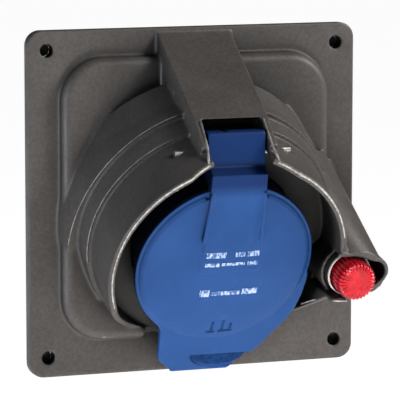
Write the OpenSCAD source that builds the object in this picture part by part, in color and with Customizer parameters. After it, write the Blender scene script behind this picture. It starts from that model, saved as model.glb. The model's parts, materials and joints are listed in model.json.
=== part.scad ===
// Panel-mounting industrial socket: spring lid, shrouding hood and a red release button.
// +Z is up, +X is right seen from the front, and the front faces -Y.
// The origin is the centre of the mounting plane, against the panel.

/* [Faceplate] */
// Width and height of the square flange
plate_w = 113; // [110:1:120]
// Thickness of the flange
flange_t = 4; // [3.5:0.5:6]
// Corner radius of the flange
plate_r = 5; // [3:0.5:6]
// Distance from the flange edge to the fixing holes
hole_inset = 6.5; // [6:0.5:7.5]
// Diameter of the fixing holes
hole_d = 4.4; // [3.6:0.1:5.2]
// Height of the raised pan above the flange
pan_h = 5; // [4:0.5:6]
// Radius along the pan's upper edge
pan_edge_r = 3; // [1.5:0.5:3.5]
// Thickness of the panel gasket
gasket_t = 1.2; // [0.8:0.2:2]

/* [Hood] */
// Angle by which the socket faces downward
tilt = 26; // [25:0.5:27]
// Outer radius of the hood at its rim
hood_r = 40; // [39.5:0.5:41]
// Wall of the hood at its rim
hood_wall = 2; // [1.6:0.1:2.4]
// Depth of the hood from its rim to its floor
hood_depth = 17.5; // [17:0.5:18]
// Width of the hinge arm
arm_w = 25.6; // [25:0.2:28]

/* [Lid] */
// Radius of the lid
lid_r = 29.8; // [29:0.1:30]
// Thickness of the lid at its edge
lid_t = 2; // [1.6:0.2:2.6]
// Rise of the lid's domed face
dome_rise = 3; // [2:0.5:4]
// Width of the strap and knuckle
strap_w = 19.2; // [17:0.2:20]
// Diameter of the hinge pin
hinge_pin_d = 2.4; // [2:0.2:2.8]

/* [Socket] */
// Outer radius of the plug collar
collar_r = 27; // [26:0.5:28]
// Radius of the well that takes the plug's shroud
well_r = 22.4; // [22:0.1:23]
// Radius of the contact insert
insert_r = 17.6; // [17:0.1:18]
// Radius of the circle on which the contacts lie
contact_ring_r = 9; // [8.5:0.1:9.2]
// Diameter of the live and neutral pins
pin_d = 5; // [4.6:0.2:5.2]
// Diameter of the earth pin
earth_pin_d = 7; // [6.6:0.2:7.2]

/* [Button] */
// Diameter of the red cap
button_d = 13.2; // [12:0.2:13.6]
// Travel of the button
button_travel = 5; // [4:0.5:5.5]
// Diameter of the stem
stem_d = 4.4; // [4:0.2:4.8]
// Wall of the guide tube around the button
guide_wall = 1.15; // [1:0.05:1.3]

/* [Colours] */
// Colour of the moulded faceplate
body_colour = "#5e5a57"; // ["#5e5a57", "#3c3c3e", "#8a8d90"]
// Colour of the lid and the collar
socket_colour = "#3d62b0"; // ["#3d62b0", "#c23a2e", "#e0c020"]
// Colour of the release button
button_colour = "#e01f33"; // ["#e01f33", "#1f9a4a"]

/* [Hidden] */
$fn = 96;

// Clearances
static_gap = 0.1;
running_gap = 0.05;
slide_gap = 0.3;
eps = 0.5;

// Mounting
hole_pitch = plate_w - 2 * hole_inset;
front_y = gasket_t + flange_t;
cutout_r = 5;
cutout_margin = 0.9;
spacer_wall = 1.4;
gasket_margin = 0.5;
gasket_w = plate_w - 2 * gasket_margin;

// Raised pan
pan_side = 10.5;
pan_w = plate_w - 2 * pan_side;
pan_len = pan_w;
pan_up = 1.5;
pan_r = 14;
pan_skin = 3.5;

// Socket axis, measured from the flange's front face
axis_up = -18.4;
axis_out = 33.5;
cavity_r = hood_r - hood_wall;
floor_z = -hood_depth;
floor_t = 3;
hollow_z = floor_z - floor_t;

// Steps of the hood, along the socket axis
step_c_z = -20;
step_c_r = hood_r + 1.4;
step_b_z = -27.5;
step_b_r = hood_r + 2.6;
step_len = 26;
foot_up = -6;
foot_r = pan_w / 2 + 1.2;
foot_slope = 0.274;
foot_bore_r = foot_r - pan_skin;
foot_h = 34;

// Hinge, measured from the flange's front face
hinge_up = 19.5;
hinge_out = 36;
notch_up = 29.9;
notch_out = 35.3;
arm_top_up = plate_w / 2 - 1.2;
neck_gap = 0.6;
neck_w = strap_w + 2 * neck_gap;
hinge_y = (hinge_up - axis_up) * cos(tilt) + (hinge_out - axis_out) * sin(tilt);
hinge_z = (hinge_out - axis_out) * cos(tilt) - (hinge_up - axis_up) * sin(tilt);
pocket_y = hinge_y - 5.2;
pocket_z = hinge_z - 8.4;
pocket_skin = 2;
pin_half = 19.4;
pin_bore_half = 30;
scoop_r = 34;
scoop_depth = 5.3;

// Pod and button, measured from the flange's front face
button_x = 43;
button_up = -22;
button_out = 26;
button_tilt = 13;
pod_top = 8;
cap_low = -3;
pod_floor_z = cap_low - button_travel - 1;
pod_floor_t = 3;
pod_len = 36;
pod_low = 8.3;
pod_bore_r = 5;
guide_top = 1;
sleeve_top = 4;
button_sleeve_r = button_d / 2 + slide_gap + 0.5;
guide_r = button_sleeve_r + static_gap / 2 + guide_wall;
stem_top = 8;
stem_tail = 2;
button_coil_gap = 1.75;
button_wire = 0.4;
button_coil_len = 16;
button_turns = 12;
fairing_base = [30, -4, 2];
fairing_tip = [50.3, -25.7, 38];
fairing_r = 23;
fairing_tip_r = 4.4;
sill_up = -33;
opening_low = -43;
opening_slope = 0.45;
hood_reach = 60;
tab_slot_x = -18.5;

// Switch behind the pod, in the button's frame
switch_front = -36;
switch_depth = 22;
switch_left = -13.5;
switch_right = 4.2;
switch_half = 23;
switch_wall = 1.2;
switch_front_t = 2.5;
cover_t = 2;
ear_y = 27.5;
ear_r = 3.6;
ear_t = 3;
ledge_in = 13;
blade_x0 = -6;
blade_x1 = stem_d / 2 + 0.55;
blade_z = -46;
blade_t = 1;
bridge_t = 1.2;
contact_gap = 0.1;
bridge_z = blade_z - blade_t - contact_gap - bridge_t;
terminal_x = -3;
terminal_y = 16.2;
cover_screw_x = -9.6;
cover_screw_y = 19;
wire_hole_r = 2.4;
bridge_half = 11;
blade_y = 7;
blade_len = 13;
boss_len = 40;
switch_screw_len = 9;
cover_screw_r = 1.1;
cover_head_r = 2.2;
housing_screw_r = 1.2;
housing_head_r = 2.8;
cutout_w = 2 * (button_x + ear_r + cutout_margin);

// Lid, in the socket's frame
lid_drop = 1.2;
lid_edge_z = -4.5;
lid_under_z = lid_edge_z - lid_t;
dome_r = (lid_r * lid_r + dome_rise * dome_rise) / (2 * dome_rise);
inner_disc_r = lid_r - 2.2;
strap_rise = 1;
strap_inset = 0.2;
strap_low = 6;
tab_half = 16.9;
tab_len = 43;
tab_t = 2.2;
knuckle_face = 4.4;
knuckle_top = 7;
knuckle_low = 5.9;
spring_r = 2.9;
spring_wire = 0.4;
spring_leg = 0.3;
spring_leg_len = 3;
spring_half = 3.2;
spring_turns = 7;
spring_room = 4.2;
leg_groove = 3.5;

// Collar and insert, in the socket's frame
seal_t = 2.1;
seal_w = 4;
collar_front = lid_under_z - seal_t - 0.2;
screw_circle_r = collar_r + 3.2;
collar_flange_r = screw_circle_r + 3.3;
hollow_r = collar_flange_r + 2.5;
collar_flange_t = 2.5;
collar_flat_y = pocket_y - pocket_skin - slide_gap;
pilot_depth = 2.4;
collar_back = -44;
web_t = 3;
neck_r = 15;
insert_front = collar_front - 6;
insert_back = -55;
lock_ring_r = 18;
lock_ring_t = 2;
key_w = 5;
key_depth = 2;

// Contacts
sleeve_wall = 0.9;
sleeve_front = insert_front - 2.2;
sleeve_depth = 30;
sleeve_back = -64;
pin_fit = 0.05;
clamp_wire = 0.35;
clamp_z = sleeve_front - 4;
clamp_room = 1;
terminal_z = -59.5;
earth_angle = -90;
live_angle = 30;
neutral_angle = 150;

// Frames ------------------------------------------------------------------

// x right, y up, z out of the flange's front face
module on_flange() {
    translate([0, -front_y, 0]) rotate([90, 0, 0]) children();
}

// z along the socket's axis, z = 0 at the hood's rim
module at_socket() {
    on_flange() translate([0, axis_up, axis_out]) rotate([tilt, 0, 0]) children();
}

// z along the button's axis
module at_button() {
    on_flange() translate([button_x, button_up, button_out]) rotate([button_tilt, 0, 0]) children();
}

// x along the hinge pin, y up, z out
module at_hinge() {
    on_flange() translate([0, hinge_up, hinge_out]) children();
}

// A side profile drawn in y and z, centred on x = 0
module side_profile(width) {
    rotate([90, 0, 90]) linear_extrude(width, center = true) children();
}

// Everything in front of the mounting plane, less the gasket
module ahead_of_panel(depth = 0) {
    on_flange() translate([-plate_w, -plate_w, -flange_t - depth]) cube([2 * plate_w, 2 * plate_w, 160]);
}

// Building blocks -----------------------------------------------------------

module tube(r_out, r_in, h) {
    difference() {
        cylinder(h = h, r = r_out);
        translate([0, 0, -eps]) cylinder(h = h + 2 * eps, r = r_in);
    }
}

module rounded_rect(w, h, r) {
    union() {
        square([w - 2 * r, h], center = true);
        square([w, h - 2 * r], center = true);
        for (x = [-1, 1], y = [-1, 1])
            translate([x * (w / 2 - r), y * (h / 2 - r)]) circle(r = r);
    }
}

module four_corners(pitch) {
    for (x = [-1, 1], y = [-1, 1]) translate([x * pitch / 2, y * pitch / 2, 0]) children();
}

// Half profile of a slab whose upper edge is rounded
module edge_profile(reach, edge_r, t) {
    union() {
        square([reach - edge_r, t]);
        square([reach, t - edge_r]);
        translate([reach - edge_r, t - edge_r]) circle(r = edge_r);
    }
}

// Rounded square slab with a rounded upper edge
module pillow(w, h, corner_r, edge_r, t) {
    flat_w = w - 2 * corner_r;
    flat_h = h - 2 * corner_r;
    union() {
        translate([-flat_w / 2, -flat_h / 2, 0]) cube([flat_w, flat_h, t]);
        for (side = [0, 180]) rotate([0, 0, side]) {
            translate([flat_w / 2, flat_h / 2, 0])
                rotate([90, 0, 0]) linear_extrude(flat_h) edge_profile(corner_r, edge_r, t);
            translate([-flat_w / 2, flat_h / 2, 0])
                rotate([90, 0, 90]) linear_extrude(flat_w) edge_profile(corner_r, edge_r, t);
            translate([flat_w / 2, flat_h / 2, 0])
                rotate_extrude(angle = 90) edge_profile(corner_r, edge_r, t);
            translate([-flat_w / 2, flat_h / 2, 0])
                rotate([0, 0, 90]) rotate_extrude(angle = 90) edge_profile(corner_r, edge_r, t);
        }
    }
}

// Cylinder from one point to another
module strut(from, to, r1, r2) {
    run = to - from;
    translate(from) rotate([0, acos(run.z / norm(run)), atan2(run.y, run.x)])
        cylinder(h = norm(run), r1 = r1, r2 = r2);
}

// Round-headed screw: head above z = 0, shank below
module screw(shank_r, shank_len, head_r, head_h, slot_w) {
    difference() {
        union() {
            cylinder(h = head_h, r = head_r);
            translate([0, 0, -shank_len]) cylinder(h = shank_len + eps, r = shank_r);
        }
        translate([-head_r, -slot_w / 2, head_h * 0.45]) cube([2 * head_r, slot_w, head_h]);
        translate([-slot_w / 2, -head_r, head_h * 0.45]) cube([slot_w, 2 * head_r, head_h]);
    }
}

// Stack of rings that stands for a closely wound coil
module coil(r, wire_r, length, turns) {
    pitch = length / (turns - 1);
    for (i = [0 : turns - 1])
        translate([0, 0, i * pitch]) rotate_extrude() translate([r, 0]) circle(r = wire_r, $fn = 16);
}

module on_ring(angle) {
    translate([contact_ring_r * cos(angle), contact_ring_r * sin(angle), 0]) children();
}

// Faceplate -----------------------------------------------------------------

// The spacers pass through the gasket and stop the screws from crushing it
module flange() {
    translate([0, 0, -flange_t]) linear_extrude(flange_t) rounded_rect(plate_w, plate_w, plate_r);
    translate([0, 0, -front_y]) four_corners(hole_pitch)
        cylinder(h = gasket_t + eps, r = hole_d / 2 + spacer_wall);
}

// The pan stops short of the lower right, where the flange is bare
module pan() {
    difference() {
        translate([0, pan_up, -eps]) pillow(pan_w, pan_len, pan_r, pan_edge_r, pan_h + eps);
        translate([tab_slot_x, -plate_w / 2, 0]) cube([plate_w, plate_w / 2 + sill_up, plate_w]);
    }
}

module hood_foot() {
    intersection() {
        on_flange() translate([0, foot_up, -eps])
            cylinder(h = foot_h, r1 = foot_r, r2 = foot_r - foot_h * foot_slope);
        at_socket() translate([-plate_w, -plate_w, step_b_z - 2 * plate_w])
            cube([2 * plate_w, 2 * plate_w, 2 * plate_w]);
    }
}

module hood_steps() {
    intersection() {
        union() {
            at_socket() translate([0, 0, step_c_z - step_len])
                cylinder(h = step_len, r1 = step_b_r + 1.2, r2 = step_c_r);
            at_socket() translate([0, 0, step_c_z - eps]) cylinder(h = -step_c_z + eps, r = hood_r);
        }
        ahead_of_panel();
    }
}

// The hood is open below the lid, along a slope that rises towards the rim
module open_bottom() {
    on_flange() side_profile(2 * plate_w)
        polygon([
            [opening_low, 0], [opening_low + opening_slope * hood_reach, hood_reach],
            [-plate_w, hood_reach], [-plate_w, 0]
        ]);
}

// Outline of the pod at its rim: long towards the lid, with a narrow tip on the right
module pod_outline() {
    polygon([
        [-13, 8.9], [0, 8.6], [7.6, 6.6], [11.2, 4.4], [11, -1], [8.9, -3.4], [-2.4, -7.8], [-13, -pod_low]
    ]);
    translate([7.2, 1.8]) circle(r = 4.8);
}

module pod_opening() {
    polygon([
        [-17, 7.7], [0, 7.4], [7, 5.3], [10.4, 3.2], [10.4, 0], [8.4, -2.3], [-2.4, -6.5], [-17, -7.1]
    ]);
    translate([7.2, 1.8]) circle(r = 3.6);
}

module pod_body() {
    intersection() {
        union() {
            at_button() translate([0, 0, pod_top - pod_len]) linear_extrude(pod_len) pod_outline();
            at_button() translate([0, 0, guide_top - pod_len]) cylinder(h = pod_len, r = guide_r);
            on_flange() strut(fairing_base, fairing_tip, fairing_r, fairing_tip_r);
        }
        ahead_of_panel();
        at_button() translate([-plate_w, -plate_w, pod_top - 2 * plate_w])
            cube([2 * plate_w, 2 * plate_w, 2 * plate_w]);
    }
}

module arm() {
    on_flange() side_profile(arm_w)
        polygon([
            [arm_top_up, -eps], [notch_up, notch_out], [hinge_up + 2.4, hinge_out + 7.4],
            [hinge_up - 6, hinge_out + 2], [hinge_up - 9, hinge_out - 16], [hinge_up - 9, -eps]
        ]);
}

// Drum under the floor, which carries the collar
module drum() {
    intersection() {
        at_socket() translate([0, 0, -2 * hood_r]) cylinder(h = 2 * hood_r + floor_z, r = cavity_r + 0.6);
        ahead_of_panel();
    }
}

// Room for the knuckle, behind the notch
module hinge_pocket(skin) {
    intersection() {
        at_socket() translate([-neck_w / 2 - skin, pocket_y - skin, pocket_z - skin])
            cube([neck_w + 2 * skin, plate_w, plate_w]);
        on_flange() translate([-plate_w, -plate_w, -plate_w])
            cube([2 * plate_w, plate_w + notch_up + skin, 3 * plate_w]);
    }
}

module front_cavities() {
    difference() {
        union() {
            at_socket() translate([0, 0, floor_z]) cylinder(h = 2 * hood_r, r = cavity_r);
            at_button() translate([0, 0, pod_floor_z]) linear_extrude(2 * pod_len) pod_opening();
        }
        at_button() translate([0, 0, guide_top - pod_len]) cylinder(h = pod_len, r = guide_r);
    }
    at_button() translate([0, 0, pod_floor_z])
        cylinder(h = 2 * pod_len, r = button_sleeve_r + static_gap / 2);
    hinge_pocket(0);
    at_socket() translate([0, 0, scoop_r - scoop_depth]) rotate([-90, 0, 0])
        cylinder(h = 2 * hood_r, r = scoop_r);
}

// Hollow back of the moulding, less the pocket of the hinge
module rear_hollow() {
    difference() {
        union() {
            at_socket() translate([0, 0, hollow_z - 2 * plate_w])
                cylinder(h = 2 * plate_w, r = hollow_r);
            intersection() {
                on_flange() translate([0, foot_up, -front_y])
                    cylinder(h = foot_h, r1 = foot_bore_r, r2 = foot_bore_r - foot_h * foot_slope);
                at_socket() translate([-plate_w, -plate_w, step_b_z - floor_t - 2 * plate_w])
                    cube([2 * plate_w, 2 * plate_w, 2 * plate_w]);
                on_flange() translate([-plate_w, sill_up + floor_t, -front_y])
                    cube([2 * plate_w, plate_w, plate_w]);
            }
        }
        hinge_pocket(pocket_skin);
    }
}

module switch_bosses() {
    intersection() {
        at_button() for (side = [-1, 1]) translate([0, side * ear_y, switch_front])
            cylinder(h = boss_len, r = ear_r);
        on_flange() translate([-plate_w, -plate_w, -plate_w - eps]) cube([2 * plate_w, 2 * plate_w, plate_w]);
    }
}

// Recess behind the flange for the top of the switch and its ear
module switch_room() {
    at_button() translate([0, 0, switch_front - switch_depth]) {
        translate([switch_left - slide_gap, 0, 0])
            cube([switch_right - switch_left + 2 * slide_gap, switch_half + slide_gap, switch_depth]);
        translate([-ear_r - slide_gap, 0, 0])
            cube([2 * (ear_r + slide_gap), ear_y, switch_depth]);
        translate([0, ear_y, 0]) cylinder(h = switch_depth, r = ear_r + slide_gap);
    }
}

module faceplate() {
    color(body_colour) difference() {
        union() {
            difference() {
                union() {
                    on_flange() flange();
                    on_flange() pan();
                    drum();
                    difference() {
                        union() {
                            hood_foot();
                            hood_steps();
                        }
                        open_bottom();
                    }
                    pod_body();
                    arm();
                }
                front_cavities();
                rear_hollow();
            }
            switch_bosses();
        }
        at_socket() translate([0, 0, floor_z - floor_t - eps])
            cylinder(h = floor_t + 2 * eps, r = collar_r + static_gap);
        at_socket() for (a = [45 : 90 : 315]) rotate([0, 0, a])
            translate([screw_circle_r, 0, hollow_z - eps]) cylinder(h = pilot_depth + eps, r = 1.35);
        at_button() translate([0, 0, -pod_len]) cylinder(h = pod_len, r = stem_d / 2 + running_gap);
        at_button() translate([0, 0, pod_floor_z - pod_floor_t - pod_len])
            cylinder(h = pod_len, r = pod_bore_r);
        at_button() for (side = [-1, 1]) translate([0, side * ear_y, switch_front - eps])
            cylinder(h = 8, r = 1.25);
        at_hinge() rotate([0, 90, 0]) cylinder(h = 2 * pin_bore_half, r = hinge_pin_d / 2, center = true);
        switch_room();
        on_flange() translate([0, 0, -front_y - eps]) four_corners(hole_pitch)
            cylinder(h = front_y + 2 * eps, r = hole_d / 2);
    }
}

module panel_gasket() {
    color("#2b2b2b") on_flange() translate([0, 0, -front_y]) difference() {
        linear_extrude(gasket_t) rounded_rect(gasket_w, gasket_w, plate_r);
        translate([0, 0, -eps]) linear_extrude(gasket_t + 2 * eps) rounded_rect(cutout_w, cutout_w, cutout_r);
        translate([0, 0, -eps]) four_corners(hole_pitch)
            cylinder(h = gasket_t + 2 * eps, r = hole_d / 2 + spacer_wall + static_gap);
    }
}

// Lid -------------------------------------------------------------------------

module lid_disc() {
    translate([0, -lid_drop, lid_under_z]) cylinder(h = lid_t, r = lid_r);
    intersection() {
        translate([0, -lid_drop, lid_under_z]) cylinder(h = lid_t + dome_rise + eps, r = inner_disc_r);
        translate([0, -lid_drop, lid_edge_z + dome_rise + 0.6 - dome_r]) sphere(r = dome_r, $fn = 200);
    }
}

// Finger tab: straight sides, cut corners, its end bent back
module lid_tab() {
    translate([0, 0, lid_under_z]) linear_extrude(tab_t)
        polygon([
            [-24, -16], [-tab_half - 1, -26], [-tab_half, 5 - tab_len], [4 - tab_half, 1.5 - tab_len],
            [5 - tab_half, -tab_len], [tab_half - 5, -tab_len], [tab_half - 4, 1.5 - tab_len],
            [tab_half, 5 - tab_len], [tab_half + 1, -26], [24, -16]
        ]);
}

module lid_strap() {
    strap_top = lid_edge_z + dome_rise + strap_rise;
    side_profile(strap_w - 2 * strap_inset)
        polygon([
            [strap_low, lid_under_z + 0.5], [strap_low, strap_top - 0.1], [16, strap_top - 0.9],
            [26, strap_top - 2.4], [32.6, strap_top - 4], [33, strap_top - 6], [34, -13],
            [30, -16], [collar_r + 0.8, -11], [collar_r + slide_gap, lid_under_z], [20, lid_under_z]
        ]);
}

module knuckle() {
    at_hinge() side_profile(strap_w)
        polygon([
            [-knuckle_low, knuckle_face], [knuckle_top - 0.8, knuckle_face],
            [knuckle_top, knuckle_face - 0.8], [knuckle_top, -1], [4, -knuckle_face], [-4, -knuckle_face], [-6.5, -1]
        ]);
}

module lid() {
    color(socket_colour) difference() {
        union() {
            at_socket() {
                lid_disc();
                lid_tab();
                lid_strap();
            }
            knuckle();
        }
        at_hinge() {
            rotate([0, 90, 0]) cylinder(h = 2 * strap_w, r = hinge_pin_d / 2 + running_gap, center = true);
            rotate([0, 90, 0])
                cylinder(h = 2 * spring_room, r = spring_r + spring_wire + slide_gap, center = true);
            translate([-spring_room, -spring_r - spring_wire, -12])
                cube([2 * spring_room, 2 * (spring_r + spring_wire), 12]);
            translate([-spring_half - 2 * spring_leg, 0, -12]) cube([4 * spring_leg, 12, 12 + leg_groove]);
        }
        at_socket() translate([spring_half - 2 * spring_leg, hinge_y - spring_leg_len - slide_gap, hinge_z])
            cube([4 * spring_leg, spring_leg_len + slide_gap, leg_groove]);
    }
}

module lid_gasket() {
    color("#26282b") at_socket() translate([0, 0, lid_under_z - seal_t])
        tube(collar_r, collar_r - seal_w, seal_t);
}

module hinge_pin() {
    color("silver") at_hinge() rotate([0, 90, 0])
        cylinder(h = 2 * pin_half, r = hinge_pin_d / 2 - running_gap / 2, center = true);
}

module lid_spring() {
    color("silver") at_socket() translate([0, hinge_y, hinge_z]) {
        translate([-spring_half, 0, 0]) rotate([0, 90, 0])
            coil(spring_r, spring_wire, 2 * spring_half, spring_turns);
        translate([-spring_half, spring_r, static_gap + pocket_z - hinge_z])
            cylinder(h = hinge_z - pocket_z - static_gap, r = spring_leg);
        translate([spring_half, 0, spring_r]) rotate([90, 0, 0]) cylinder(h = spring_leg_len, r = spring_leg);
    }
}

// Socket ------------------------------------------------------------------------

module collar() {
    color(socket_colour) at_socket() difference() {
        union() {
            translate([0, 0, collar_back - web_t])
                cylinder(h = collar_front - collar_back + web_t, r = collar_r);
            translate([0, 0, hollow_z - static_gap / 2 - collar_flange_t])
                cylinder(h = collar_flange_t, r = collar_flange_r);
        }
        translate([-collar_flange_r, collar_flat_y, hollow_z - 2 * collar_flange_t])
            cube([2 * collar_flange_r, collar_flange_r, 2 * collar_flange_t]);
        translate([0, 0, collar_back]) cylinder(h = 2 * hood_r, r = well_r);
        translate([0, 0, collar_back - web_t - eps]) cylinder(h = web_t + 2 * eps, r = neck_r + static_gap);
        translate([-key_w / 2, -well_r - key_depth, collar_back + 4]) cube([key_w, 6, 2 * hood_r]);
        for (a = [45 : 90 : 315]) rotate([0, 0, a])
            translate([screw_circle_r, 0, hollow_z - 2 * collar_flange_t]) cylinder(h = 2 * collar_flange_t, r = 1.6);
    }
}

module collar_screws() {
    color("silver") at_socket() for (a = [45 : 90 : 315]) rotate([0, 0, a])
        translate([screw_circle_r, 0, hollow_z - static_gap - collar_flange_t]) rotate([180, 0, 0])
            screw(1.3, collar_flange_t + pilot_depth, 2.6, 1.6, 0.7);
}

module contact_bore(sleeve_r, entry_r) {
    translate([0, 0, insert_back - eps])
        cylinder(h = sleeve_front - insert_back + eps, r = sleeve_r + static_gap);
    translate([0, 0, sleeve_front - 9]) cylinder(h = 9, r = sleeve_r + clamp_room);
    translate([0, 0, sleeve_front - eps]) cylinder(h = 2 * hood_r, r = entry_r);
}

module insert() {
    color("#2f4f96") at_socket() difference() {
        union() {
            translate([0, 0, collar_back]) cylinder(h = insert_front - collar_back, r = insert_r);
            translate([0, 0, insert_back]) cylinder(h = collar_back - insert_back + eps, r = neck_r);
        }
        on_ring(live_angle) contact_bore(pin_d / 2 + sleeve_wall, pin_d / 2 + 0.4);
        on_ring(neutral_angle) contact_bore(pin_d / 2 + sleeve_wall, pin_d / 2 + 0.4);
        on_ring(earth_angle) contact_bore(earth_pin_d / 2 + sleeve_wall, earth_pin_d / 2 + 0.4);
    }
}

module lock_ring() {
    color("#2b2b2b") at_socket() translate([0, 0, collar_back - web_t - lock_ring_t])
        tube(lock_ring_r, neck_r + static_gap / 2, lock_ring_t);
}

module contact(angle, plug_pin_d) {
    sleeve_r = plug_pin_d / 2 + sleeve_wall;
    at_socket() on_ring(angle) difference() {
        translate([0, 0, sleeve_back]) cylinder(h = sleeve_front - sleeve_back, r = sleeve_r);
        translate([0, 0, sleeve_front - sleeve_depth])
            cylinder(h = sleeve_depth + eps, r = plug_pin_d / 2 + pin_fit);
        translate([0, 0, sleeve_back - eps]) cylinder(h = 9, r = 1.7);
        rotate([0, 0, angle]) translate([0, 0, terminal_z]) rotate([0, 90, 0]) cylinder(h = 12, r = 1.4);
    }
}

module live_contact() {
    color("goldenrod") contact(live_angle, pin_d);
}

module neutral_contact() {
    color("goldenrod") contact(neutral_angle, pin_d);
}

module earth_contact() {
    color("goldenrod") contact(earth_angle, earth_pin_d);
}

module clamp_ring(angle, plug_pin_d) {
    on_ring(angle) translate([0, 0, clamp_z]) rotate_extrude()
        translate([plug_pin_d / 2 + sleeve_wall + clamp_wire + running_gap, 0])
            circle(r = clamp_wire, $fn = 16);
}

module clamp_rings() {
    color("silver") at_socket() {
        clamp_ring(live_angle, pin_d);
        clamp_ring(neutral_angle, pin_d);
        clamp_ring(earth_angle, earth_pin_d);
    }
}

module terminal_screw(angle, plug_pin_d) {
    sleeve_r = plug_pin_d / 2 + sleeve_wall;
    on_ring(angle) rotate([0, 0, angle]) translate([sleeve_r + 0.6, 0, terminal_z]) rotate([0, 90, 0])
        screw(1.35, sleeve_r, 2, 1.4, 0.6);
}

module terminal_screws() {
    color("silver") at_socket() {
        terminal_screw(live_angle, pin_d);
        terminal_screw(neutral_angle, pin_d);
        terminal_screw(earth_angle, earth_pin_d);
    }
}

// Button ------------------------------------------------------------------------

module button_cap() {
    cap_r = button_d / 2;
    cap_top = 12;
    color(button_colour) at_button() difference() {
        rotate_extrude() difference() {
            union() {
                translate([0, cap_low]) square([cap_r, cap_top - cap_low - 1.6]);
                translate([0, cap_low]) square([cap_r - 1.6, cap_top - cap_low]);
                translate([cap_r - 1.6, cap_top - 1.6]) circle(r = 1.6);
            }
            translate([-cap_r, cap_low - 1]) square([cap_r, cap_top + 8]);
        }
        translate([0, 0, cap_low - eps]) tube(cap_r - 1.4, stem_d / 2 + 0.9, stem_top - cap_low + eps);
        translate([0, 0, cap_low - eps]) cylinder(h = stem_top - cap_low + eps, r = stem_d / 2);
    }
}

module button_sleeve() {
    color("#d8d4d0") at_button() {
        translate([0, 0, pod_floor_z + static_gap / 2])
            tube(button_sleeve_r, button_d / 2 + slide_gap, sleeve_top - pod_floor_z);
    }
}

module button_stem() {
    color("silver") at_button() difference() {
        translate([0, 0, bridge_z - stem_tail]) cylinder(h = stem_top - bridge_z + stem_tail, r = stem_d / 2);
        translate([0, 0, pod_floor_z - pod_floor_t - 1.3]) tube(stem_d, stem_d / 2 - 0.6, 0.8);
    }
}

module button_spring() {
    color("silver") at_button() translate([0, 0, pod_floor_z + button_wire + running_gap])
        coil(stem_d / 2 + button_coil_gap, button_wire, button_coil_len, button_turns);
}

module stem_clip() {
    color("#3a3a3a") at_button() translate([0, 0, pod_floor_z - pod_floor_t - 1.25])
        tube(stem_d / 2 + 2, stem_d / 2 - 0.55, 0.7);
}

// Switch ------------------------------------------------------------------------

module switch_block(x0, x1, half, depth) {
    translate([x0, -half, -depth]) cube([x1 - x0, 2 * half, depth]);
}

module switch_housing() {
    room_z = switch_front_t;
    color("#303236") at_button() translate([0, 0, switch_front]) difference() {
        union() {
            difference() {
                switch_block(switch_left, switch_right, switch_half, switch_depth);
                translate([switch_wall, 0, -room_z])
                    switch_block(switch_left, switch_right - 2 * switch_wall, switch_half - 2, switch_depth);
            }
            for (side = [-1, 1]) {
                translate([cover_screw_x, side * cover_screw_y, -switch_depth])
                    cylinder(h = switch_depth, r = 2.4);
                translate([switch_left + 1, side * ledge_in - (1 - side) * 4, blade_z - switch_front])
                    cube([switch_right - switch_left - 2, 8, switch_front - blade_z - room_z + 1]);
                translate([0, side * ear_y, -ear_t]) cylinder(h = ear_t, r = ear_r);
                translate([-ear_r, side * (ear_y - 3) - 3, -ear_t]) cube([2 * ear_r, 6, ear_t]);
            }
        }
        translate([0, 0, -room_z - eps]) cylinder(h = room_z + 2 * eps, r = stem_d / 2 + running_gap);
        for (side = [-1, 1]) {
            translate([0, side * ear_y, -ear_t - eps]) cylinder(h = ear_t + 2 * eps, r = 1.7);
            translate([cover_screw_x, side * cover_screw_y, -switch_depth - eps]) cylinder(h = 9, r = 1.15);
            translate([terminal_x, side * terminal_y, blade_z - switch_front - eps])
                cylinder(h = 6, r = 1.25);
            translate([terminal_x, side * (switch_half + 1), -switch_depth + 5])
                rotate([side * 90, 0, 0]) cylinder(h = 4, r = wire_hole_r);
        }
    }
}

module switch_cover() {
    color("#3a3d42") at_button() translate([0, 0, switch_front - switch_depth]) difference() {
        switch_block(switch_left, switch_right, switch_half, cover_t);
        for (side = [-1, 1]) translate([cover_screw_x, side * cover_screw_y, -cover_t - eps])
            cylinder(h = cover_t + 2 * eps, r = 1.3);
    }
}

module cover_screws() {
    color("silver") at_button() for (side = [-1, 1])
        translate([cover_screw_x, side * cover_screw_y, switch_front - switch_depth - cover_t])
            rotate([180, 0, 0]) screw(cover_screw_r, switch_screw_len, cover_head_r, 1.4, 0.6);
}

module housing_screws() {
    color("silver") at_button() for (side = [-1, 1])
        translate([0, side * ear_y, switch_front - ear_t]) rotate([180, 0, 0])
            screw(housing_screw_r, switch_screw_len, housing_head_r, 1.6, 0.7);
}

module contact_bridge() {
    color("#c98a4b") at_button() translate([0, 0, bridge_z]) difference() {
        translate([blade_x0, -bridge_half, 0]) cube([blade_x1 - blade_x0, 2 * bridge_half, bridge_t]);
        translate([0, 0, -eps]) cylinder(h = bridge_t + 2 * eps, r = stem_d / 2);
    }
}

module fixed_contacts() {
    color("#c98a4b") at_button() for (side = [-1, 1]) difference() {
        translate([blade_x0, side > 0 ? blade_y : -blade_y - blade_len, blade_z - blade_t])
            cube([blade_x1 - blade_x0, blade_len, blade_t]);
        translate([terminal_x, side * terminal_y, blade_z - blade_t - eps])
            cylinder(h = blade_t + 2 * eps, r = 1.35);
    }
}

module switch_terminal_screws() {
    color("silver") at_button() for (side = [-1, 1])
        translate([terminal_x, side * terminal_y, blade_z - blade_t]) rotate([180, 0, 0])
            screw(1.2, 6, 2.4, 1.6, 0.6);
}

faceplate();
lid();
lid_gasket();
hinge_pin();
lid_spring();
button_cap();
button_sleeve();
button_stem();
button_spring();
stem_clip();
collar();
collar_screws();
insert();
lock_ring();
live_contact();
neutral_contact();
earth_contact();
clamp_rings();
terminal_screws();
switch_housing();
switch_cover();
cover_screws();
housing_screws();
contact_bridge();
fixed_contacts();
switch_terminal_screws();
panel_gasket();
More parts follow.
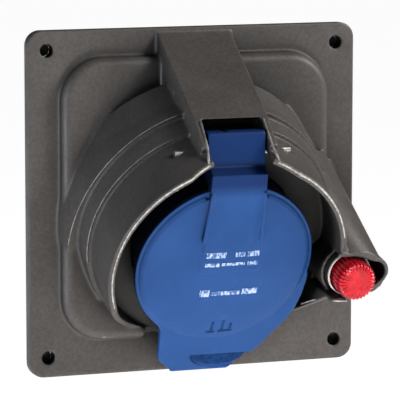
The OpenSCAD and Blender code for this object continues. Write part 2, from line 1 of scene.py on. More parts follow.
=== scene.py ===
"""Panel socket with a spring lid and a release button: camera, light, materials and the moulded detail."""
import json
import math

import bmesh
import bpy
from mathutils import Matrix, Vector

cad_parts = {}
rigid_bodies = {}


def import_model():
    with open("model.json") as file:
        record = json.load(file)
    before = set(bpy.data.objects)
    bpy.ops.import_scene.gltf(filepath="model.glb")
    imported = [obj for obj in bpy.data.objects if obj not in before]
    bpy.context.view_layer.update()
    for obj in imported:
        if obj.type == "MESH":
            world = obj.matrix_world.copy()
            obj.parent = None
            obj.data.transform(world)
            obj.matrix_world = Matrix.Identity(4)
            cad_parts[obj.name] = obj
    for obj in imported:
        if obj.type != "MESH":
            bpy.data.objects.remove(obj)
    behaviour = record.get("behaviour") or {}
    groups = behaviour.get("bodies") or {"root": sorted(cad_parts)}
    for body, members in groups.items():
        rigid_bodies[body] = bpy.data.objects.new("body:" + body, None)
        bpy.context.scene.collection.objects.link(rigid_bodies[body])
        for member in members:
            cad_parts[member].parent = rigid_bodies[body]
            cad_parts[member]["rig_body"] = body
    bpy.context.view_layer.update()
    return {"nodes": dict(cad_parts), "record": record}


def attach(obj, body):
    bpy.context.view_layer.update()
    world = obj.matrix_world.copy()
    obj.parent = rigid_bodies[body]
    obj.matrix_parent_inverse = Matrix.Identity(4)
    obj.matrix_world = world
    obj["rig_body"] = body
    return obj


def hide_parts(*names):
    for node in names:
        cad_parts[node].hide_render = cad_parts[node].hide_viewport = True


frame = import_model()
nodes = frame["nodes"]
MM = 0.001

# Sizes that part.scad also has, in millimetres
FRONT_Y = 5.2
AXIS_UP, AXIS_OUT = -18.4, 33.5
TILT = math.radians(26)
HOLE_REACH = 50
HOOD_R, HOOD_WALL = 40.0, 2.0
SCOOP_R, SCOOP_DEPTH = 34.0, 5.3
OPENING_LOW, OPENING_SLOPE = -43.0, 0.45
FOOT_UP, FOOT_R, FOOT_SLOPE = -6.0, 47.2, 0.274
STEP_R, STEP_Z = 41.4, -20.0
FIRST_STEP_Z = -27.5
BUTTON = (43.0, -22.0, 26.0)
BUTTON_TILT = math.radians(13)
POD_TOP = 8.0
SLEEVE_TOP = 4.0
LID_DROP, LID_R, LID_EDGE_Z = 1.2, 29.8, -4.5
DOME_RISE, DOME_LIFT = 3.0, 0.6


# Frames -----------------------------------------------------------------------

def on_flange(x, up, out):
    """x right, up, out of the flange's front face, in millimetres."""
    return Vector((x, -FRONT_Y - out, up)) * MM


def turned(origin, angle, x, y, z):
    up = origin[1] + y * math.cos(angle) - z * math.sin(angle)
    out = origin[2] + y * math.sin(angle) + z * math.cos(angle)
    return on_flange(origin[0] + x, up, out)


def in_socket(x, y, z):
    return turned((0.0, AXIS_UP, AXIS_OUT), TILT, x, y, z)


def in_button(x, y, z):
    return turned(BUTTON, BUTTON_TILT, x, y, z)


def angles(start, end, steps):
    """Evenly spaced angles from start to end, given in degrees and returned in radians."""
    return [math.radians(start + (end - start) * i / steps) for i in range(steps + 1)]


def arc(x, y, radius, start, end, steps):
    """Points along part of a circle."""
    return [(x + radius * math.cos(t), y + radius * math.sin(t)) for t in angles(start, end, steps)]


def circle(x, y, radius, sides):
    return arc(x, y, radius, 0, 360, sides)[:-1]


# Camera, light and floor --------------------------------------------------------

def make_camera():
    azimuth, elevation = math.radians(-19.8), math.radians(7.8)
    target, distance = Vector((0, -FRONT_Y * MM, 0)), 0.994
    back = Vector((
        math.sin(azimuth) * math.cos(elevation),
        -math.cos(azimuth) * math.cos(elevation),
        math.sin(elevation),
    ))
    camera = bpy.data.objects.new("camera", bpy.data.cameras.new("camera"))
    bpy.context.scene.collection.objects.link(camera)
    camera.data.sensor_width = 36
    camera.data.lens = 272.6
    camera.data.shift_x = 0.016
    camera.data.shift_y = -0.004
    camera.data.clip_start, camera.data.clip_end = 0.05, 50
    camera.location = target + back * distance
    camera.rotation_mode = "QUATERNION"
    camera.rotation_quaternion = (-back).to_track_quat("-Z", "Y")
    bpy.context.scene.camera = camera


def area_light(name, place, size, power, colour=(1, 1, 1), target=(0, -0.02, 0), glossy=True):
    light = bpy.data.lights.new(name, "AREA")
    light.shape, light.size, light.size_y = "RECTANGLE", size[0], size[1]
    light.energy, light.color = power, colour
    lamp = bpy.data.objects.new(name, light)
    bpy.context.scene.collection.objects.link(lamp)
    lamp.location = place
    lamp.rotation_mode = "QUATERNION"
    lamp.rotation_quaternion = (Vector(target) - Vector(place)).to_track_quat("-Z", "Y")
    lamp.visible_glossy = glossy


def make_floor():
    mesh = bpy.data.meshes.new("floor")
    form = bmesh.new()
    bmesh.ops.create_circle(form, cap_ends=True, segments=64, radius=14)
    form.to_mesh(mesh)
    form.free()
    floor = bpy.data.objects.new("floor", mesh)
    bpy.context.scene.collection.objects.link(floor)
    floor.location = (0, 0, -0.28)
    pale = bpy.data.materials.new("pale_floor")
    pale.use_nodes = True
    shader = pale.node_tree.nodes["Principled BSDF"]
    shader.inputs["Base Color"].default_value = (0.3, 0.3, 0.3, 1)
    shader.inputs["Roughness"].default_value = 0.9
    shader.inputs["Emission Color"].default_value = (1, 1, 1, 1)
    shader.inputs["Emission Strength"].default_value = 0.95
    mesh.materials.append(pale)


def make_light():
    world = bpy.data.worlds.new("studio")
    bpy.context.scene.world = world
    world.use_nodes = True
    background = world.node_tree.nodes["Background"]
    background.inputs["Color"].default_value = (1, 1, 1, 1)
    background.inputs["Strength"].default_value = 0.05
    area_light("key", (0.85, -0.55, 0.66), (0.45, 0.45), 21, (1.0, 0.98, 0.95))
    area_light("left_strip", (-1.2, -0.38, -0.25), (0.35, 1.0), 17, (0.82, 0.89, 1.0))
    area_light("left_rake", (-1.2, -0.12, -0.4), (0.3, 0.9), 7, (0.8, 0.87, 1.0))
    area_light(
        "low_front", (-0.02, -0.3, -0.25), (0.12, 0.12), 2.3, (1.0, 0.96, 0.92),
        target=(0, -0.01, -0.05), glossy=False,
    )
    bpy.context.scene.view_settings.view_transform = "Standard"


make_camera()
make_light()
make_floor()


# Materials ----------------------------------------------------------------------

class Surface:
    """A procedural material built on one Principled shader."""

    def __init__(self, name, roughness, metallic=0.0, specular=0.5):
        self.material = bpy.data.materials.new(name)
        self.material.use_nodes = True
        self.tree = self.material.node_tree
        self.shader = self.tree.nodes["Principled BSDF"]
        self.shader.inputs["Roughness"].default_value = roughness
        self.shader.inputs["Metallic"].default_value = metallic
        self.shader.inputs["Specular IOR Level"].default_value = specular
        self.place = self.node("ShaderNodeTexCoord").outputs["Object"]

    def node(self, kind, **values):
        made = self.tree.nodes.new(kind)
        for key, value in values.items():
            if key in made.inputs:
                made.inputs[key].default_value = value
            else:
                setattr(made, key, value)
        return made

    def link(self, a, b):
        self.tree.links.new(a, b)

    def noise(self, scale, detail=3.0, roughness=0.55, stretch=None):
        made = self.node("ShaderNodeTexNoise", Scale=scale, Detail=detail, Roughness=roughness)
        if stretch:
            mapping = self.node("ShaderNodeMapping", Scale=stretch)
            self.link(self.place, mapping.inputs["Vector"])
            self.link(mapping.outputs["Vector"], made.inputs["Vector"])
        else:
            self.link(self.place, made.inputs["Vector"])
        return made.outputs["Fac"]

    def ramp(self, source, stops):
        made = self.node("ShaderNodeValToRGB")
        ramp = made.color_ramp
        while len(ramp.elements) < len(stops):
            ramp.elements.new(0.5)
        for element, (at, colour) in zip(ramp.elements, stops):
            element.position = at
            element.color = (*colour, 1)
        self.link(source, made.inputs["Fac"])
        return made.outputs["Color"]

    def between(self, source, low, high):
        """A number that runs from low to high as the source goes from 0.3 to 0.7."""
        made = self.node("ShaderNodeMapRange")
        for key, value in (("From Min", 0.3), ("From Max", 0.7), ("To Min", low), ("To Max", high)):
            made.inputs[key].default_value = value
        self.link(source, made.inputs["Value"])
        return made.outputs["Result"]

    def mix(self, factor, a, b, kind="MIX"):
        made = self.node("ShaderNodeMix", data_type="RGBA", blend_type=kind)
        for index, value in ((6, a), (7, b)):
            if isinstance(value, tuple):
                made.inputs[index].default_value = (*value, 1)
            else:
                self.link(value, made.inputs[index])
        if isinstance(factor, float):
            made.inputs[0].default_value = factor
        else:
            self.link(factor, made.inputs[0])
        return made.outputs[2]

    def edges(self, low, high, most):
        """How far a place is a convex edge, up to a share of the mix; used to paint highlights on edges."""
        made = self.node("ShaderNodeMapRange")
        for key, value in (("From Min", low), ("From Max", high), ("To Min", 0.0), ("To Max", most)):
            made.inputs[key].default_value = value
        self.link(self.node("ShaderNodeNewGeometry").outputs["Pointiness"], made.inputs["Value"])
        return made.outputs["Result"]

    def hollows(self, reach_mm, low, high):
        """0 deep in a hollow and 1 in the open; used to paint shade into hollows."""
        around = self.node("ShaderNodeAmbientOcclusion", samples=6, Distance=reach_mm * MM)
        made = self.node("ShaderNodeMapRange")
        made.inputs["From Min"].default_value = low
        made.inputs["From Max"].default_value = high
        self.link(around.outputs["AO"], made.inputs["Value"])
        return made.outputs["Result"]

    def along(self, node, axis, start, end):
        """0 before one point and 1 past another along an axis, on a piece that lies as its node does."""
        world = nodes[node].matrix_world
        height = self.node("ShaderNodeVectorMath", operation="DOT_PRODUCT")
        self.link(self.place, height.inputs[0])
        height.inputs[1].default_value = world.to_3x3().transposed() @ axis
        level = self.node("ShaderNodeMapRange")
        level.inputs["From Min"].default_value = (start - world.translation).dot(axis)
        level.inputs["From Max"].default_value = (end - world.translation).dot(axis)
        self.link(height.outputs["Value"], level.inputs["Value"])
        return level.outputs["Result"]

    def colour(self, source):
        self.link(source, self.shader.inputs["Base Color"])

    def rough(self, source):
        self.link(source, self.shader.inputs["Roughness"])

    def bump(self, source, strength, distance_mm, edge_mm=0.0):
        made = self.node("ShaderNodeBump", Strength=strength, Distance=distance_mm * MM)
        self.link(source, made.inputs["Height"])
        if edge_mm:
            bevel = self.node("ShaderNodeBevel", Radius=edge_mm * MM, samples=4)
            self.link(bevel.outputs["Normal"], made.inputs["Normal"])
        self.link(made.outputs["Normal"], self.shader.inputs["Normal"])


def moulded(name, dark, light, roughness):
    """Moulded plastic: slow mottling, fine eroded grain and uneven gloss."""
    surface = Surface(name, roughness)
    surface.colour(surface.ramp(surface.noise(60.0, 4.0, 0.6), [(0.3, dark), (0.7, light)]))
    surface.rough(surface.between(surface.noise(350.0, 3.0), roughness - 0.06, roughness + 0.08))
    surface.bump(surface.noise(2600.0, 2.0, 0.6), 0.25, 0.08, 0.3)
    return surface.material


def body_material():
    """Dark warm grey thermoplastic: fine grain, painted highlights on convex edges and painted shade in
    deep hollows.
    """
    surface = Surface("body_plastic", 0.45, specular=0.3)
    base = surface.ramp(surface.noise(45.0, 5.0, 0.65), [
        (0.3, (0.05, 0.0455, 0.043)), (0.55, (0.06, 0.055, 0.052)), (0.75, (0.072, 0.066, 0.062)),
    ])
    grain = surface.ramp(surface.noise(900.0, 5.0, 0.75), [
        (0.38, (0.72, 0.72, 0.72)), (0.62, (1.0, 1.0, 1.0)),
    ])
    grained = surface.mix(1.0, base, grain, "MULTIPLY")
    # Painted highlight: convex edges are mixed towards pale grey.
    edge_highlight = surface.mix(surface.edges(0.56, 0.68, 0.4), grained, (0.34, 0.33, 0.31))
    # Painted shade: deep hollows are mixed towards near black.
    surface.colour(surface.mix(surface.hollows(24.0, 0.35, 0.8), (0.004, 0.004, 0.004), edge_highlight))
    surface.rough(surface.between(surface.noise(120.0, 4.0), 0.4, 0.56))
    surface.bump(surface.noise(1500.0, 3.0, 0.65), 0.4, 0.12)
    return surface.material


def lid_material():
    """Blue thermoplastic with light rubbing, a painted shadow on the knuckle and painted shade in deep
    hollows.
    """
    surface = Surface("lid_plastic", 0.46, specular=0.16)
    base = surface.ramp(surface.noise(38.0, 4.0, 0.6), [
        (0.3, (0.007, 0.034, 0.122)), (0.7, (0.011, 0.046, 0.158)),
    ])
    rub = surface.ramp(surface.noise(300.0, 5.0, 0.7), [(0.6, (0, 0, 0)), (0.78, (0.25, 0.25, 0.25))])
    up = Vector((0, -math.sin(TILT), math.cos(TILT)))
    # Painted shadow: the knuckle, under the arm, is mixed towards dark blue.
    knuckle_shadow = surface.along("lid", up, in_socket(0, 25.5, 0), in_socket(0, 29.5, 0))
    rubbed = surface.mix(rub, base, (0.034, 0.086, 0.235))
    knuckle_shadowed = surface.mix(knuckle_shadow, rubbed, (0.002, 0.016, 0.075))
    # Painted shade: deep hollows are mixed towards near black.
    surface.colour(surface.mix(surface.hollows(26.0, 0.2, 0.8), (0.002, 0.006, 0.02), knuckle_shadowed))
    surface.rough(surface.between(surface.noise(90.0, 3.0), 0.38, 0.5))
    surface.bump(surface.noise(1800.0, 2.0, 0.6), 0.15, 0.08)
    return surface.material


def button_material():
    surface = Surface("button_red", 0.3, specular=0.35)
    surface.colour(surface.ramp(surface.noise(420.0, 4.0, 0.7), [
        (0.35, (0.2, 0.001, 0.004)), (0.65, (0.42, 0.003, 0.012)),
    ]))
    surface.shader.inputs["Coat Weight"].default_value = 0.15
    surface.shader.inputs["Coat Roughness"].default_value = 0.15
    surface.bump(surface.noise(700.0, 2.0, 0.5), 0.35, 0.25)
    return surface.material


def sleeve_material():
    """Pale moulding with painted shade on its bore and flank below the lip."""
    surface = Surface("sleeve_plastic", 0.45)
    axis = Vector((0, -math.cos(BUTTON_TILT), -math.sin(BUTTON_TILT)))
    low, high = in_button(0, 0, SLEEVE_TOP - 0.7), in_button(0, 0, SLEEVE_TOP - 0.3)
    # Painted shade: everything below the lip is dark, and only the lip keeps the pale colour.
    lip = surface.along("button_sleeve", axis, low, high)
    surface.colour(surface.mix(lip, (0.012, 0.011, 0.011), (0.4, 0.37, 0.35)))
    surface.bump(surface.noise(900.0, 3.0), 0.1, 0.05)
    return surface.material


def metal(name, colour, roughness, brushed=(1, 1, 1)):
    surface = Surface(name, roughness, metallic=1.0)
    streaks = surface.noise(900.0, 3.0, 0.6, stretch=brushed)
    dark = tuple(c * 0.88 for c in colour)
    surface.colour(surface.ramp(streaks, [(0.3, dark), (0.7, colour)]))
    surface.rough(surface.between(surface.noise(300.0, 4.0), roughness - 0.07, roughness + 0.1))
    surface.bump(streaks, 0.2, 0.03, 0.12)
    return surface.material


def rubber(name):
    surface = Surface(name, 0.75, specular=0.3)
    surface.colour(surface.ramp(surface.noise(150.0, 4.0), [
        (0.3, (0.014, 0.014, 0.015)), (0.75, (0.03, 0.03, 0.032)),
    ]))
    surface.bump(surface.noise(2200.0, 3.0), 0.4, 0.1, 0.2)
    return surface.material


MATERIALS = {
    "body": body_material(),
    "blue": lid_material(),
    "insert_blue": moulded("insert_plastic", (0.018, 0.055, 0.22), (0.028, 0.08, 0.3), 0.5),
    "red": button_material(),
    "pale": sleeve_material(),
    "steel": metal("zinc_steel", (0.62, 0.62, 0.6), 0.32),
    "spring_steel": metal("spring_wire", (0.42, 0.42, 0.43), 0.3, (1, 0.1, 1)),
    "seal": rubber("seal_rubber"),
    "brass": metal("turned_brass", (0.74, 0.52, 0.22), 0.26, (0.2, 1, 1)),
    "copper": metal("stamped_copper", (0.72, 0.36, 0.18), 0.3),
    "black": moulded("black_moulding", (0.018, 0.019, 0.021), (0.034, 0.036, 0.04), 0.5),
    "black_steel": metal("blued_steel", (0.08, 0.08, 0.09), 0.35),
}
for row in frame["record"]["subparts"]:
    cad = nodes[row["node"]]
    cad.data.materials.clear()
    cad.data.materials.append(MATERIALS[row["material_slot"]])


# Building blocks ------------------------------------------------------------------

def new_object(name, form):
    mesh = bpy.data.meshes.new(name)
    form.to_mesh(mesh)
    form.free()
    made = bpy.data.objects.new(name, mesh)
    bpy.context.scene.collection.objects.link(made)
    return made


def bead(path, radius, sides=12):
    """A round bar along a path of points, with its ends closed. Radius in millimetres."""
    form = bmesh.new()
    rings = []
    for i, point in enumerate(path):
        ahead = path[min(i + 1, len(path) - 1)] - path[max(i - 1, 0)]
        across = ahead.cross(Vector((0.31, 0.2, 0.93))).normalized()
        other = ahead.cross(across).normalized()
        rings.append([
            form.verts.new(point + radius * MM * (math.cos(t) * across + math.sin(t) * other))
            for t in (2 * math.pi * k / sides for k in range(sides))
        ])
    for a, b in zip(rings, rings[1:]):
        for k in range(sides):
            form.faces.new((a[k], a[(k + 1) % sides], b[(k + 1) % sides], b[k]))
    form.faces.new(list(reversed(rings[0])))
    form.faces.new(rings[-1])
    bmesh.ops.recalc_face_normals(form, faces=form.faces)
    return new_object("bead", form)


def block(corners_low, corners_high):
    """A closed box between two rings of corners."""
    form = bmesh.new()
    low = [form.verts.new(p) for p in corners_low]
    high = [form.verts.new(p) for p in corners_high]
    count = len(low)
    form.faces.new(list(reversed(low)))
    form.faces.new(high)
    for k in range(count):
        form.faces.new((low[k], low[(k + 1) % count], high[(k + 1) % count], high[k]))
    bmesh.ops.recalc_face_normals(form, faces=form.faces)
    return new_object("block", form)


def prism(outline, low, high, place):
    """A closed prism over an outline in x and y, from low to high along z, in one of the frames."""
    return block([place(x, y, low) for x, y in outline], [place(x, y, high) for x, y in outline])


def select_only(*objs):
    bpy.ops.object.select_all(action="DESELECT")
    for obj in objs:
        obj.select_set(True)
    bpy.context.view_layer.objects.active = objs[0]


def apply_modifier(obj, kind, **values):
    made = obj.modifiers.new(kind.lower(), kind)
    for key, value in values.items():
        setattr(made, key, value)
    select_only(obj)
    bpy.ops.object.modifier_apply(modifier=made.name)


def fuse(name, node, extras, carved, voxel_mm, smoothing, keep):
    """One moulding: the CAD solid with its extras melted on and its edges softened."""
    cad = nodes[node]
    copy = bpy.data.objects.new(name, cad.data.copy())
    bpy.context.scene.collection.objects.link(copy)
    for cutter in carved:
        apply_modifier(copy, "BOOLEAN", operation="DIFFERENCE", object=cutter, solver="EXACT")
        bpy.data.objects.remove(cutter)
    select_only(copy, *extras)
    bpy.ops.object.join()
    apply_modifier(copy, "REMESH", mode="VOXEL", voxel_size=voxel_mm * MM, use_smooth_shade=True)
    apply_modifier(copy, "SMOOTH", factor=0.5, iterations=smoothing)
    apply_modifier(copy, "DECIMATE", ratio=keep)
    for polygon in copy.data.polygons:
        polygon.use_smooth = True
    slot = next(s["material_slot"] for s in frame["record"]["subparts"] if s["node"] == node)
    copy.data.materials.clear()
    copy.data.materials.append(MATERIALS[slot])
    body = cad["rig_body"]
    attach(copy, body)
    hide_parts(node)


# Faceplate ------------------------------------------------------------------------

def rim_height(x, y):
    """How high the hood's rim stands at a place on its circle, along the socket's axis."""
    height = 0.0
    if y > 0 and abs(x) < SCOOP_R:
        height = min(height, SCOOP_R - SCOOP_DEPTH - math.sqrt(SCOOP_R ** 2 - x ** 2))
    cosine, sine, slope = math.cos(TILT), math.sin(TILT), OPENING_SLOPE
    cut = AXIS_UP - OPENING_LOW - slope * AXIS_OUT + y * (cosine - slope * sine)
    return min(height, cut / (sine + slope * cosine))


def rim_path(start, end):
    """The middle of the hood's wall from one angle to another, in degrees."""
    middle = arc(0, 0, HOOD_R - HOOD_WALL / 2, start, end, 80)
    return [in_socket(x, y, rim_height(x, y) - 0.8) for x, y in middle]


def pod_rim_path():
    """The pod's front rim, over the cap and round its right side."""
    over = [(-6.0, 8.1), (0.0, 8.0), (6.6, 6.2)]
    outline = over + arc(7.2, 1.8, 4.2, 75, -42, 9) + [(8.3, -3.0)]
    return [in_button(x, y, POD_TOP - 0.6) for x, y in outline]


def make_faceplate():
    extras = [
        bead(rim_path(105, 228), 1.15),
        bead(rim_path(75, 8), 1.15),
        bead(pod_rim_path(), 0.7),
    ]
    stem_bore = prism(circle(0, 0, 2.8, 32), -14, -7, in_button)
    fuse("faceplate_moulding", "faceplate", extras, [stem_bore], voxel_mm=0.45, smoothing=2, keep=0.36)


# Lid --------------------------------------------------------------------------------

def dome_height(x, y):
    """Where the lid's domed face lies, along the socket's axis."""
    radius = (LID_R ** 2 + DOME_RISE ** 2) / (2 * DOME_RISE)
    top = LID_EDGE_Z + DOME_RISE + DOME_LIFT - radius
    return top + math.sqrt(radius ** 2 - x ** 2 - (y + LID_DROP) ** 2)


def rectangle(x0, x1, y0, y1):
    return [(x0, y0), (x1, y0), (x1, y1), (x0, y1)]


def crescent(half, depth):
    """The thumb grip's outline on the tab."""
    return [(4 + half * math.cos(t), -36.8 + depth * math.sin(t)) for t in angles(180, 360, 14)]


def grip_floor(y):
    """The thumb grip's floor, deepest at its straight upper edge."""
    return LID_EDGE_Z - 0.1 - 0.24 * (y + 42.4)


def strap_ribs():
    """Ribs down both sides of the strap, which sink into the dome."""
    strap_top = LID_EDGE_Z + DOME_RISE + 1.0
    ribs = []
    for head, foot in ((-8.9, -10.1), (8.9, 9.2)):
        ribs.append(bead([
            in_socket(head + (foot - head) * k / 17, 27 - k, strap_top - 2.4 * (max(0, 16 - k) / 16) ** 1.3)
            for k in range(18)
        ], 0.6))
    return ribs


def label_frame():
    """Four low bars round the label."""
    left, right, low, high, bar = -9.6, 10.6, -1.6, 10.2, 0.6
    bars = []
    for x0, x1, y0, y1 in (
        (left, right, high - bar, high), (left, right, low, low + bar),
        (left, left + bar, low, high), (right - bar, right, low, high),
    ):
        corners = rectangle(x0, x1, y0, y1)
        bars.append(block(
            [in_socket(x, y, dome_height(x, y) - 0.5) for x, y in corners],
            [in_socket(x, y, dome_height(x, y) + 0.3) for x, y in corners],
        ))
    return bars


def make_lid():
    """The lid with its ribs and label frame, and with a web from the disc to the tab's right side."""
    extras = strap_ribs() + label_frame()
    edge = arc(0, -LID_DROP, 27.9, 112, 428, 120)
    rim = bead([in_socket(x, y, LID_EDGE_Z + 0.02) for x, y in edge], 0.75)
    web = [
        (15.4, -36.8), (18.6, -33.8), (20.8, -30.4), (25.2, -25), (27.6, -20.6), (29.2, -15), (29.9, -9),
        (29.4, -3), (25, -6), (20, -18), (12, -32),
    ]
    gusset = prism(web, LID_EDGE_Z - 1.8, LID_EDGE_Z + 0.1, in_socket)
    slant = [(7.2, -43.2), (6.4, -46), (22, -46), (22, -32.6), (17.2, -35.2)]
    corner = prism(slant, LID_EDGE_Z - 5, LID_EDGE_Z + 5, in_socket)
    grip = crescent(10.2, 5.4)
    cut = block(
        [in_socket(x, y, grip_floor(y)) for x, y in grip],
        [in_socket(x, y, LID_EDGE_Z + 3) for x, y in grip],
    )
    fuse("lid_moulding", "lid", extras + [rim, gusset], [corner, cut], voxel_mm=0.3, smoothing=3, keep=0.5)


def print_material():
    """Faded pale print: a plain field with worn gaps and no letters."""
    surface = Surface("pale_print", 0.55, specular=0.2)
    surface.colour(surface.ramp(surface.noise(900.0, 2.0, 0.5, stretch=(1.6, 1, 0.6)), [
        (0.44, (0.03, 0.08, 0.22)), (0.52, (0.2, 0.26, 0.38)), (0.75, (0.34, 0.4, 0.5)),
    ]))
    surface.bump(surface.noise(1400.0, 2.0, 0.5), 0.1, 0.05)
    return surface.material


def mark_material():
    """Ink or moulded lines that read darker than the lid; also used for painted shade."""
    surface = Surface("dark_marks_and_painted_shade", 0.6, specular=0.1)
    surface.colour(surface.ramp(surface.noise(600.0, 3.0), [
        (0.35, (0.002, 0.014, 0.06)), (0.65, (0.006, 0.03, 0.11)),
    ]))
    surface.bump(surface.noise(1400.0, 2.0, 0.5), 0.1, 0.05)
    return surface.material


def print_field(name, x0, x1, y0, y1, material):
    """A thin closed field that follows the lid's dome."""
    columns = 12
    form = bmesh.new()
    grid = []
    for level in (0.02, 0.12):
        layer = []
        for j in (y0, y1):
            layer.append([
                form.verts.new(in_socket(x, j, dome_height(x, j) + level))
                for x in (x0 + (x1 - x0) * i / columns for i in range(columns + 1))
            ])
        grid.append(layer)
    (a, b), (c, d) = grid
    for i in range(columns):
        form.faces.new((c[i], c[i + 1], d[i + 1], d[i]))
        form.faces.new((a[i], b[i], b[i + 1], a[i + 1]))
        form.faces.new((a[i], a[i + 1], c[i + 1], c[i]))
        form.faces.new((b[i], d[i], d[i + 1], b[i + 1]))
    form.faces.new((a[0], c[0], d[0], b[0]))
    form.faces.new((a[-1], b[-1], d[-1], c[-1]))
    bmesh.ops.recalc_face_normals(form, faces=form.faces)
    made = new_object(name, form)
    made.data.materials.append(material)
    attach(made, "lid_flap")


def edge_material(name, dark, light):
    """Body plastic in pale tones, for painted highlights along edges."""
    surface = Surface(name, 0.4, specular=0.5)
    surface.colour(surface.ramp(surface.noise(500.0, 4.0, 0.7), [(0.35, dark), (0.65, light)]))
    surface.bump(surface.noise(1500.0, 3.0, 0.65), 0.2, 0.08)
    return surface.material


def edge_line(name, path, radius, material):
    """A thin bar that stands for a painted highlight along an edge."""
    made = bead(path, radius, 8)
    made.name = name
    made.data.materials.append(material)
    for polygon in made.data.polygons:
        polygon.use_smooth = True
    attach(made, "base")


def foot_edge(start, end):
    """Where the hood's foot meets the plane of the first step."""
    slope, base = FOOT_SLOPE, FOOT_R - 0.5 * FOOT_SLOPE
    cosine, sine = math.cos(TILT), math.sin(TILT)
    points = []
    for t in angles(start, end, 60):
        rise = FOOT_UP - AXIS_UP + base * math.sin(t)
        out = (FIRST_STEP_Z + AXIS_OUT * cosine + rise * sine) / (cosine + slope * math.sin(t) * sine)
        radius = base - slope * out
        points.append(on_flange(radius * math.cos(t), FOOT_UP + radius * math.sin(t), out))
    return points


def step_edge(start, end):
    return [in_socket(x, y, STEP_Z - 0.05) for x, y in arc(0, 0, STEP_R - 0.05, start, end, 60)]


def make_edge_lines():
    """Pale lines of painted highlight along the hood's rim, foot and step, the arm's mouth, the sill and
    the pod's lip.
    """
    # Painted highlights: a bright and a dim material for the edge lines.
    pale = edge_material("painted_edge_highlight", (0.13, 0.125, 0.12), (0.38, 0.37, 0.355))
    edge_highlight = edge_material("painted_dim_edge_highlight", (0.08, 0.075, 0.07), (0.24, 0.23, 0.22))
    ahead = Vector((0, -0.0007, 0))
    edge_line("rim_line_left", [p + ahead for p in rim_path(107, 224)], 0.5, pale)
    edge_line("rim_line_right", [p + ahead for p in rim_path(73, 14)], 0.5, pale)
    edge_line("foot_line_left", foot_edge(112, 188), 0.16, edge_highlight)
    edge_line("step_line_left", step_edge(117, 192), 0.16, edge_highlight)
    for name, side in (("left", -1), ("right", 1)):
        mouth = [(11.8, 17.2, 47.0), (11.4, 19.4, 45.3), (10.9, 21.9, 43.2), (10.6, 29.6, 35.8)]
        edge_line(f"mouth_line_{name}", [on_flange(side * x, up, out) for x, up, out in mouth], 0.4, edge_highlight)
    sill = [
        (31.4, -34.1, 17.0), (32.0, -33.7, 18.0), (33.0, -32.8, 20.1),
        (34.2, -32.0, 22.6), (35.0, -31.9, 23.6),
    ]
    edge_line("sill_line", [on_flange(*p) for p in sill], 0.3, pale)
    lip = [(36.4, -30.9, 32.2), (38.0, -31.1, 32.2), (39.6, -31.2, 32.15), (41.4, -31.3, 32.1)]
    edge_line("lip_line", [on_flange(*p) for p in lip], 0.3, pale)


def make_hole_shades():
    """Dark discs of seal rubber behind the fixing holes: painted shade, so the holes read dark."""
    corners = [(x, up) for up in (-HOLE_REACH, HOLE_REACH) for x in (-HOLE_REACH, HOLE_REACH)]
    for index, (x, up) in enumerate(corners):
        # Painted shade: a dark disc closes each hole where there would only be shade.
        web = prism(circle(x, up, 2.15, 24), -5.0, -4.6, on_flange)
        web.name = f"hole_shade_disc_{index}"
        web.data.materials.append(MATERIALS["seal"])
        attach(web, "base")


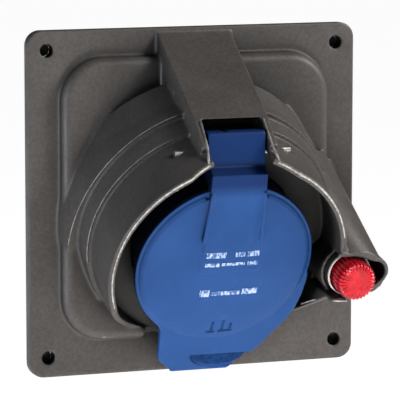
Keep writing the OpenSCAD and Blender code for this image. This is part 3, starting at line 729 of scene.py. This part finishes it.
def make_button():
    """Hollow red cap with fine ribs round its side and across the rim of its face."""
    centre = 11.75
    outside = [
        (2.6, 11.8), (3.0, 11.9), (4.6, 11.95), (5.5, 11.75),
        (6.1, 11.3), (6.4, 10.6), (6.45, 9.5), (6.45, -2.9),
    ]
    inside = [(5.2, -2.9), (5.2, 8.0), (3.1, 8.0), (3.1, -2.9), (2.25, -2.9), (2.25, 8.0)]
    ribs, steps = 30, 240
    form = bmesh.new()
    rings = []
    for index, (radius, height) in enumerate(outside + inside):
        ribbed = radius > 3.5 and index < len(outside)
        ring = []
        for k in range(steps):
            t = 2 * math.pi * k / steps
            groove = 0.5 - 0.5 * math.cos(ribs * t)
            reach = radius - (0.32 * groove if ribbed else 0.0)
            level = height - (0.22 * groove if ribbed and radius < 6.2 else 0.0)
            ring.append(form.verts.new(in_button(reach * math.cos(t), reach * math.sin(t), level)))
        rings.append(ring)
    for a, b in zip(rings, rings[1:]):
        for k in range(steps):
            form.faces.new((a[k], b[k], b[(k + 1) % steps], a[(k + 1) % steps]))
    top = form.verts.new(in_button(0, 0, centre))
    bottom = form.verts.new(in_button(0, 0, inside[-1][1]))
    for k in range(steps):
        form.faces.new((top, rings[0][k], rings[0][(k + 1) % steps]))
        form.faces.new((bottom, rings[-1][(k + 1) % steps], rings[-1][k]))
    bmesh.ops.recalc_face_normals(form, faces=form.faces)
    cap = new_object("ribbed_cap", form)
    for polygon in cap.data.polygons:
        polygon.use_smooth = True
    cap.data.materials.append(MATERIALS["red"])
    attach(cap, "release")
    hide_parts("button_cap")


def make_print(worn_print, dark_marks_and_painted_shade):
    """Fields of colour in place of print and moulded marks: pale ones first, then dark ones, the first of
    which is a painted shadow line along the label's top.
    """
    pale_fields = [
        (-8.0, -1.4, 3.7, 6.2), (1.8, 5.0, 3.9, 5.6), (6.0, 10.2, 3.8, 6.4),
        (-8.0, -3.2, 0.4, 1.8), (-2.4, 5.4, 0.7, 1.8), (6.4, 10.0, 0.4, 1.9),
        (-8.0, -4.8, -11.4, -8.6), (-4.2, 5.6, -11.0, -9.4), (6.4, 11.6, -11.2, -8.9),
    ]
    # The first dark field is a painted shadow line under the label frame's top bar.
    dark_fields = [
        (-9.2, 10.2, 8.7, 9.4), (-2.6, 0.2, -27.2, -26.4), (1.4, 6.2, -27.0, -26.2),
        (-1.4, -0.6, -26.0, -22.4), (2.2, 3.0, -26.0, -22.0), (5.0, 5.8, -25.8, -23.4),
    ]
    fields = [(*f, worn_print) for f in pale_fields] + [(*f, dark_marks_and_painted_shade) for f in dark_fields]
    for index, (x0, x1, y0, y1, material) in enumerate(fields):
        print_field(f"print_field_{index}", x0, x1, y0, y1, material)


def make_grip_shade(dark_marks_and_painted_shade):
    """A dark floor in the thumb grip: painted shadow under its upper edge."""
    shade = crescent(9.6, 4.4)
    # Painted shadow: a dark sheet on the grip's floor.
    grip_shade = block(
        [in_socket(x, y - 0.2, grip_floor(y) - 0.3) for x, y in shade],
        [in_socket(x, y - 0.2, grip_floor(y) + 0.12) for x, y in shade],
    )
    grip_shade.name = "grip_shade"
    grip_shade.data.materials.append(dark_marks_and_painted_shade)
    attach(grip_shade, "lid_flap")


make_edge_lines()
make_hole_shades()
make_button()
make_faceplate()
make_lid()
worn_print, dark_marks_and_painted_shade = print_material(), mark_material()
make_print(worn_print, dark_marks_and_painted_shade)
make_grip_shade(dark_marks_and_painted_shade)
